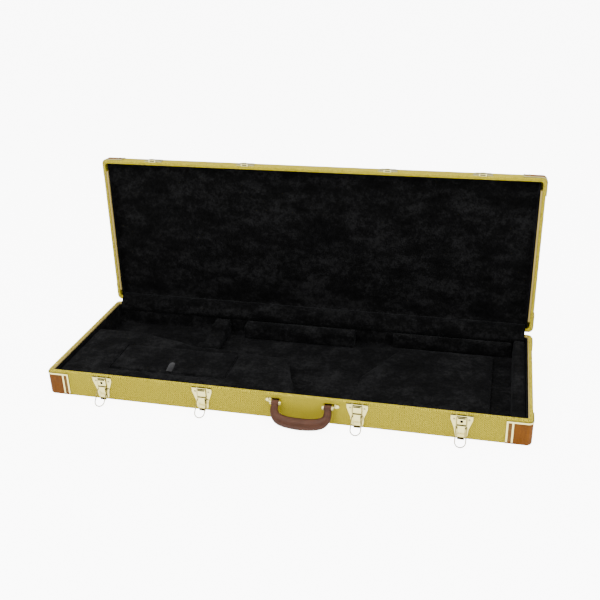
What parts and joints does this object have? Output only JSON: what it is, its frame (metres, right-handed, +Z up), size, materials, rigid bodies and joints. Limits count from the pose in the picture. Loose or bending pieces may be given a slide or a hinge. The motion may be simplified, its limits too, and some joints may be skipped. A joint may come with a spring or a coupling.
{
  "type": "guitar case",
  "caption": "Rectangular hard case for an electric guitar: hinged lid, plush cradle, lidded accessory box, draw latches, carrying handle, leather corners.",
  "frame": {"origin": "centre of the base's flat bottom face", "axes": "+X along the case to the end that holds the guitar's body, +Y from the handle side to the hinges, +Z up; the lid is open at rest"},
  "size_m": [1.0446, 0.4505, 0.437],
  "materials": {
    "tweed": "woven, coated",
    "plush": "short pile",
    "corner_leather": "smooth",
    "handle_leather": "fine grain, satin",
    "gold_metal": "polished, pale",
    "grey_ribbon": "woven ribbon"
  },
  "bodies": {
    "base": {"base_shell": "tweed", "base_rim_lip": "tweed", "base_lining": "plush", "shelf_pad": "plush", "neck_rest": "plush", "rear_neck_pad": "plush", "rear_body_pad": "plush", "front_body_pad": "plush", "end_pad": "plush", "floor_cushion": "plush", "accessory_box": "plush", "base_cap_edgings": "gold_metal", "latch_pivot_pins": "gold_metal", "latch_rivets": "gold_metal", "handle_bracket_left": "gold_metal", "handle_bracket_right": "gold_metal", "handle_bracket_screws": "gold_metal", "handle_axles": "gold_metal", "hinge_base_leaves": "gold_metal", "hinge_base_screws": "gold_metal", "hinge_pins": "gold_metal", "base_corner_cap_front_left": "corner_leather", "base_corner_cap_front_right": "corner_leather", "base_corner_cap_rear_left": "corner_leather", "base_corner_cap_rear_right": "corner_leather", "latch_plate_1": "gold_metal", "latch_plate_2": "gold_metal", "latch_plate_3": "gold_metal", "latch_plate_4": "gold_metal"},
    "lid": {"lid_shell": "tweed", "lid_rim_strips": "tweed", "lid_lining": "plush", "lid_pad": "plush", "lid_cap_edgings": "gold_metal", "catch_screws": "gold_metal", "hinge_lid_leaves": "gold_metal", "hinge_lid_screws": "gold_metal", "lid_corner_cap_front_left": "corner_leather", "lid_corner_cap_front_right": "corner_leather", "lid_corner_cap_rear_left": "corner_leather", "lid_corner_cap_rear_right": "corner_leather", "lid_catch_1": "gold_metal", "lid_catch_2": "gold_metal", "lid_catch_3": "gold_metal", "lid_catch_4": "gold_metal"},
    "accessory_lid": {"accessory_lid": "plush", "pull_tab": "grey_ribbon"},
    "handle": {"handle": "handle_leather"},
    "latch_lever_1": {"latch_lever_1": "gold_metal"},
    "latch_bail_1": {"latch_bail_1": "gold_metal"},
    "latch_lever_2": {"latch_lever_2": "gold_metal"},
    "latch_bail_2": {"latch_bail_2": "gold_metal"},
    "latch_lever_3": {"latch_lever_3": "gold_metal"},
    "latch_bail_3": {"latch_bail_3": "gold_metal"},
    "latch_lever_4": {"latch_lever_4": "gold_metal"},
    "latch_bail_4": {"latch_bail_4": "gold_metal"},
    "lock_cylinder_1": {"lock_cylinder_1": "gold_metal"},
    "lock_cylinder_4": {"lock_cylinder_4": "gold_metal"}
  },
  "joints": [
    {"name": "lid_hinge", "type": "hinge", "parent": "base", "child": "lid", "pos_m": [0, 0.1863, 0.0603], "axis": [1, 0, 0], "range_deg": [0, 91.4]},
    {"name": "accessory_lid_hinge", "type": "hinge", "parent": "base", "child": "accessory_lid", "pos_m": [-0.265, -0.0165, 0.0503], "axis": [1, 0, 0], "range_deg": [-105, 0]},
    {"name": "handle_hinge", "type": "hinge", "parent": "base", "child": "handle", "pos_m": [0.06, -0.192, 0.045], "axis": [-1, 0, 0], "range_deg": [0, 116]},
    {"name": "latch_lever_hinge_1", "type": "hinge", "parent": "base", "child": "latch_lever_1", "pos_m": [-0.389, -0.188, 0.0345], "axis": [1, 0, 0], "range_deg": [-120, 0]},
    {"name": "latch_bail_hinge_1", "type": "hinge", "parent": "latch_lever_1", "child": "latch_bail_1", "pos_m": [-0.389, -0.1875, 0.0284], "axis": [-1, 0, 0], "range_deg": [0, 135.7]},
    {"name": "latch_lever_hinge_2", "type": "hinge", "parent": "base", "child": "latch_lever_2", "pos_m": [-0.159, -0.188, 0.0345], "axis": [1, 0, 0], "range_deg": [-120, 0]},
    {"name": "latch_bail_hinge_2", "type": "hinge", "parent": "latch_lever_2", "child": "latch_bail_2", "pos_m": [-0.159, -0.1875, 0.0284], "axis": [-1, 0, 0], "range_deg": [0, 135.7]},
    {"name": "latch_lever_hinge_3", "type": "hinge", "parent": "base", "child": "latch_lever_3", "pos_m": [0.175, -0.188, 0.0345], "axis": [1, 0, 0], "range_deg": [-120, 0]},
    {"name": "latch_bail_hinge_3", "type": "hinge", "parent": "latch_lever_3", "child": "latch_bail_3", "pos_m": [0.175, -0.1875, 0.0284], "axis": [-1, 0, 0], "range_deg": [0, 135.7]},
    {"name": "latch_lever_hinge_4", "type": "hinge", "parent": "base", "child": "latch_lever_4", "pos_m": [0.384, -0.188, 0.0345], "axis": [1, 0, 0], "range_deg": [-120, 0]},
    {"name": "latch_bail_hinge_4", "type": "hinge", "parent": "latch_lever_4", "child": "latch_bail_4", "pos_m": [0.384, -0.1875, 0.0284], "axis": [-1, 0, 0], "range_deg": [0, 135.7]},
    {"name": "lock_turn_1", "type": "hinge", "parent": "base", "child": "lock_cylinder_1", "pos_m": [-0.389, -0.188, 0.0445], "axis": [0, -1, 0], "range_deg": [0, 90]},
    {"name": "lock_turn_4", "type": "hinge", "parent": "base", "child": "lock_cylinder_4", "pos_m": [0.384, -0.188, 0.0445], "axis": [0, -1, 0], "range_deg": [0, 90]}
  ]
}
